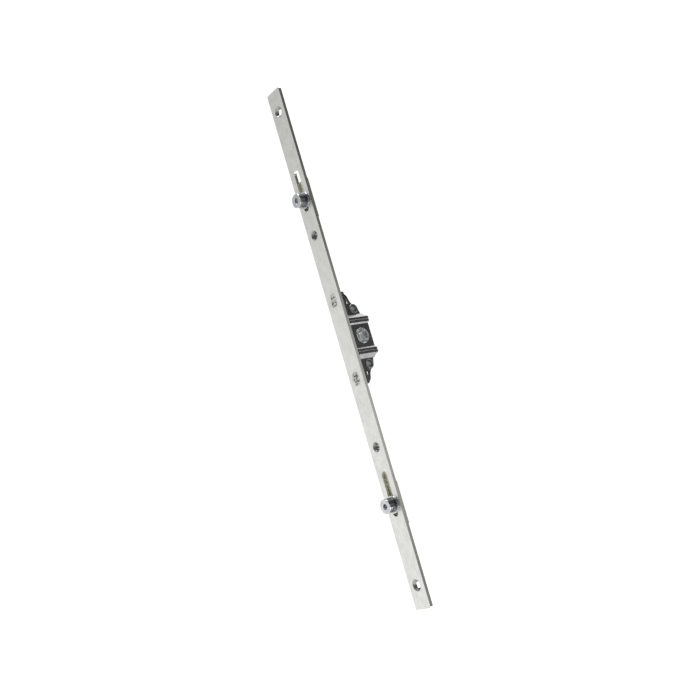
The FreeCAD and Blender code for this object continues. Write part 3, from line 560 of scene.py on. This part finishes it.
def soften(piece, width, segments=2):
    """Round the piece's sharp edges and shade it smooth between them."""
    weigh_edges(piece, width)
    select_only(piece)
    bevel = piece.modifiers.new("edge", "BEVEL")
    bevel.width = width
    bevel.segments = segments
    bevel.limit_method = "WEIGHT"
    bevel.use_clamp_overlap = False
    bevel.miter_outer = "MITER_ARC"
    bpy.ops.object.modifier_apply(modifier=bevel.name)
    bpy.ops.object.shade_smooth(keep_sharp_edges=True)
    settle_flats(piece)
    weights = piece.modifiers.new("weights", "WEIGHTED_NORMAL")
    weights.keep_sharp = True
    bpy.ops.object.modifier_apply(modifier=weights.name)


def dress(node, material, edge, segments=2):
    """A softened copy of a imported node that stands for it."""
    piece = take_copy(node, node + "_finished")
    soften(piece, edge, segments)
    piece.data.materials.append(material)
    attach(piece, body_name(node))
    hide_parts(node)


def body_name(node):
    bodies = frame["record"]["behaviour"]["bodies"]
    return next(body for body, nodes in bodies.items() if node in nodes)


def repaint(node, material):
    """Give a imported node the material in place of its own."""
    for slot in frame["nodes"][node].material_slots:
        slot.material = material


class PieceOperator(bpy.types.Operator):
    """Shared reach to the settings."""

    bl_options = {"REGISTER", "UNDO"}

    @property
    def sizes(self):
        return bpy.context.scene.espagnolette_sizes

    @property
    def finishes(self):
        return bpy.context.scene.espagnolette_finishes


class ESPAGNOLETTE_OT_faceplate(PieceOperator):
    """Dress the faceplate: softened strip edges, countersinks and slots"""

    bl_idname = TAG + ".faceplate"
    bl_label = "Faceplate"

    def execute(self, context):
        dress("faceplate", zinc_strip(self.finishes), self.sizes.strip_edge)
        return {"FINISHED"}


class ESPAGNOLETTE_OT_drive_rod(PieceOperator):
    """Dress the drive rod with its punched windows and slots"""

    bl_idname = TAG + ".drive_rod"
    bl_label = "Drive rod"

    def execute(self, context):
        dress("drive_rod", chromated_rod(self.finishes), self.sizes.rod_edge)
        return {"FINISHED"}


class ESPAGNOLETTE_OT_gear_hub(PieceOperator):
    """Dress the toothed hub with its square socket"""

    bl_idname = TAG + ".gear_hub"
    bl_label = "Gear hub"

    def execute(self, context):
        dress("gear_hub", bright_hub(self.finishes), self.sizes.hub_edge)
        return {"FINISHED"}


class ESPAGNOLETTE_OT_gear_case(PieceOperator):
    """Dress both die-cast halves of the gear case"""

    bl_idname = TAG + ".gear_case"
    bl_label = "Gear case"

    def execute(self, context):
        material = dark_casting(self.finishes)
        for side in ("right", "left"):
            dress("case_half_" + side, material, self.sizes.casting_edge)
        return {"FINISHED"}


class ESPAGNOLETTE_OT_springs(PieceOperator):
    """Give the hub's brake spring and the cams' wave washers their blued steel"""

    bl_idname = TAG + ".springs"
    bl_label = "Springs"

    def execute(self, context):
        material = spring_steel(self.finishes)
        for node in ["hub_brake_spring"] + [end + "_cam_wave_washer" for end in ENDS]:
            repaint(node, material)
        return {"FINISHED"}


class ESPAGNOLETTE_OT_rivets(PieceOperator):
    """Dress the handle eyelets, guide bushes and rivet washers"""

    bl_idname = TAG + ".rivets"
    bl_label = "Eyelets and bushes"

    def execute(self, context):
        eyelet, bush = rivet_steel(self.finishes), bush_steel(self.finishes)
        for end in ENDS:
            dress("handle_eyelet_" + end, eyelet, self.sizes.rivet_edge)
            dress("guide_bush_" + end, bush, self.sizes.rivet_edge)
            dress(end + "_cam_rivet_washer", bush, self.sizes.rivet_edge)
        return {"FINISHED"}


class ESPAGNOLETTE_OT_cams(PieceOperator):
    """Dress the roller cams: pin, collar and roller"""

    bl_idname = TAG + ".cams"
    bl_label = "Roller cams"

    def execute(self, context):
        bright, dull = turned_zinc(self.finishes), roller_steel(self.finishes)
        for end in ENDS:
            for part, material in (("_cam_pin", bright), ("_cam_collar", bright),
                                   ("_cam_roller", dull)):
                dress(end + part, material, self.sizes.turned_edge, segments=3)
        return {"FINISHED"}


class ESPAGNOLETTE_OT_stage(PieceOperator):
    """Set up the pale floor, the soft light and the camera"""

    bl_idname = TAG + ".stage"
    bl_label = "Studio"

    def execute(self, context):
        studio = context.scene.espagnolette_studio
        self.lay_floor(studio)
        self.hang_lights(studio)
        self.light_surround(context, studio)
        self.place_camera(context, studio)
        context.scene.view_settings.view_transform = "Standard"
        return {"FINISHED"}

    def lay_floor(self, studio):
        bpy.ops.object.select_all(action="DESELECT")
        bpy.ops.mesh.primitive_circle_add(
            vertices=FLOOR_SIDES, radius=studio.floor_radius, fill_type="NGON",
            location=(0.0, 0.0, -studio.floor_drop))
        floor = bpy.context.active_object
        floor.name = "studio_floor"
        material = bpy.data.materials.new("matt_white_floor")
        material.use_nodes = True
        shader = material.node_tree.nodes["Principled BSDF"]
        shader.inputs["Base Color"].default_value = (*studio.floor_colour, 1.0)
        shader.inputs["Roughness"].default_value = FLOOR_ROUGH
        floor.data.materials.append(material)

    def hang_lights(self, studio):
        """A soft bank above and behind, a lamp overhead for the floor, a small one low behind."""
        for name, place, width, power in (
                ("rear_bank", BANK_PLACE, BANK_SIZE, studio.bank_power),
                ("overhead_lamp", LAMP_PLACE, LAMP_SIZE, studio.lamp_power),
                ("low_kicker", KICKER_PLACE, KICKER_SIZE, studio.kicker_power)):
            bpy.ops.object.light_add(type="AREA", location=place)
            light = bpy.context.active_object
            light.name = name
            light.data.shape = "SQUARE"
            light.data.size = width
            light.data.energy = power
            light.rotation_euler = (-Vector(place)).to_track_quat("-Z", "Y").to_euler()

    def light_surround(self, context, studio):
        """White for the camera, and a surround of its own for the surfaces."""
        world = bpy.data.worlds.new("studio_surround")
        world.use_nodes = True
        context.scene.world = world
        tree = world.node_tree
        tree.nodes.clear()
        strength = self.surround_strength(tree, studio)
        surround = add_node(tree, "ShaderNodeBackground", {"Color": WHITE}, {"Strength": strength})
        backdrop = add_node(tree, "ShaderNodeBackground",
                            {"Color": WHITE, "Strength": studio.backdrop_light})
        seen = add_node(tree, "ShaderNodeLightPath").outputs["Is Camera Ray"]
        mixed = add_node(tree, "ShaderNodeMixShader",
                         links={0: seen, 1: surround.outputs[0], 2: backdrop.outputs[0]})
        add_node(tree, "ShaderNodeOutputWorld", links={"Surface": mixed.outputs[0]})

    def surround_strength(self, tree, studio):
        """Bright near the floor and dimmer above, with a card, a glow behind and a dim back."""
        direction = add_node(tree, "ShaderNodeTexCoord").outputs["Generated"]
        split = add_node(tree, "ShaderNodeSeparateXYZ", links={"Vector": direction})
        height = add_node(tree, "ShaderNodeMapRange",
                          {"interpolation_type": "SMOOTHSTEP",
                           "From Min": HORIZON_LOW, "From Max": HORIZON_HIGH,
                           "To Min": studio.low_light, "To Max": studio.high_light},
                          {"Value": split.outputs["Z"]})
        cover = add_node(tree, "ShaderNodeMath", {"operation": "MAXIMUM"},
                         {0: self.rear_glow(tree, split), 1: self.dark_card(tree, direction)})
        back = add_node(tree, "ShaderNodeMapRange",
                        {"From Min": BACK_FROM, "From Max": BACK_TO,
                         "To Min": 1.0, "To Max": BACK_SHADE},
                        {"Value": split.outputs["Y"]})
        share = add_node(tree, "ShaderNodeMath", {"operation": "MULTIPLY"},
                         {0: back.outputs["Result"], 1: cover.outputs[0]})
        strength = add_node(tree, "ShaderNodeMath", {"operation": "MULTIPLY"},
                            {0: height.outputs["Result"], 1: share.outputs[0]})
        return strength.outputs[0]

    def dark_card(self, tree, direction):
        """A large dark card at the right with a soft edge: its shade, and one beside it."""
        toward = add_node(tree, "ShaderNodeVectorMath",
                          {"operation": "DOT_PRODUCT", 1: CARD_DIRECTION}, {0: direction})
        card = add_node(tree, "ShaderNodeMapRange",
                        {"interpolation_type": "SMOOTHSTEP",
                         "From Min": math.cos(CARD_OUTER), "From Max": math.cos(CARD_INNER),
                         "To Min": 1.0, "To Max": CARD_SHADE},
                        {"Value": toward.outputs["Value"]})
        return card.outputs["Result"]

    def rear_glow(self, tree, split):
        """A band of light behind, just above the horizon, which shows even where the card is."""
        above = add_node(tree, "ShaderNodeMath", {"operation": "SUBTRACT", 1: GLOW_HEIGHT},
                         {0: split.outputs["Z"]})
        away = add_node(tree, "ShaderNodeMath", {"operation": "ABSOLUTE"}, {0: above.outputs[0]})
        band = add_node(tree, "ShaderNodeMapRange",
                        {"interpolation_type": "SMOOTHSTEP",
                         "From Min": GLOW_INNER, "From Max": GLOW_OUTER,
                         "To Min": GLOW_SHARE, "To Max": 0.0},
                        {"Value": away.outputs[0]})
        rear = add_node(tree, "ShaderNodeMapRange", {"From Min": REAR_FROM, "From Max": REAR_TO},
                        {"Value": split.outputs["Y"]})
        glow = add_node(tree, "ShaderNodeMath", {"operation": "MULTIPLY"},
                        {0: band.outputs["Result"], 1: rear.outputs["Result"]})
        return glow.outputs[0]

    def place_camera(self, context, studio):
        bpy.ops.object.camera_add(location=studio.camera_place)
        camera = bpy.context.active_object
        camera.name = "studio_camera"
        camera.data.lens = studio.camera_lens
        camera.data.clip_start = CAMERA_NEAR
        camera.data.clip_end = CAMERA_FAR
        sight = Vector(studio.camera_aim) - Vector(studio.camera_place)
        camera.rotation_euler = sight.to_track_quat("-Z", "Y").to_euler()
        camera.rotation_euler.rotate_axis("Z", -studio.camera_roll)
        context.scene.camera = camera


class ESPAGNOLETTE_PT_panel(bpy.types.Panel):
    """Lists the pieces and their settings"""

    bl_idname = "ESPAGNOLETTE_PT_panel"
    bl_label = "Window Espagnolette"
    bl_space_type = "VIEW_3D"
    bl_region_type = "UI"
    bl_category = "Espagnolette"

    def draw(self, context):
        for operator in OPERATORS:
            self.layout.operator(operator.bl_idname)
        for name in GROUPS:
            settings = getattr(context.scene, name)
            box = self.layout.box()
            for prop in settings.bl_rna.properties:
                if not prop.is_readonly and prop.identifier != "name":
                    box.prop(settings, prop.identifier)


GROUPS = {
    "espagnolette_sizes": EspagnoletteSizes,
    "espagnolette_finishes": EspagnoletteFinishes,
    "espagnolette_studio": EspagnoletteStudio,
}
OPERATORS = (
    ESPAGNOLETTE_OT_faceplate,
    ESPAGNOLETTE_OT_drive_rod,
    ESPAGNOLETTE_OT_gear_hub,
    ESPAGNOLETTE_OT_gear_case,
    ESPAGNOLETTE_OT_springs,
    ESPAGNOLETTE_OT_rivets,
    ESPAGNOLETTE_OT_cams,
    ESPAGNOLETTE_OT_stage,
)


def register():
    for group in GROUPS.values():
        bpy.utils.register_class(group)
    for name, group in GROUPS.items():
        setattr(bpy.types.Scene, name, bpy.props.PointerProperty(type=group))
    for operator in OPERATORS:
        bpy.utils.register_class(operator)
    bpy.utils.register_class(ESPAGNOLETTE_PT_panel)


def unregister():
    bpy.utils.unregister_class(ESPAGNOLETTE_PT_panel)
    for operator in reversed(OPERATORS):
        bpy.utils.unregister_class(operator)
    for name in GROUPS:
        delattr(bpy.types.Scene, name)
    for group in reversed(list(GROUPS.values())):
        bpy.utils.unregister_class(group)


def main():
    register()
    for operator in OPERATORS:
        getattr(getattr(bpy.ops, TAG), operator.bl_idname.split(".")[1])()


if __name__ == "__main__":
    main()
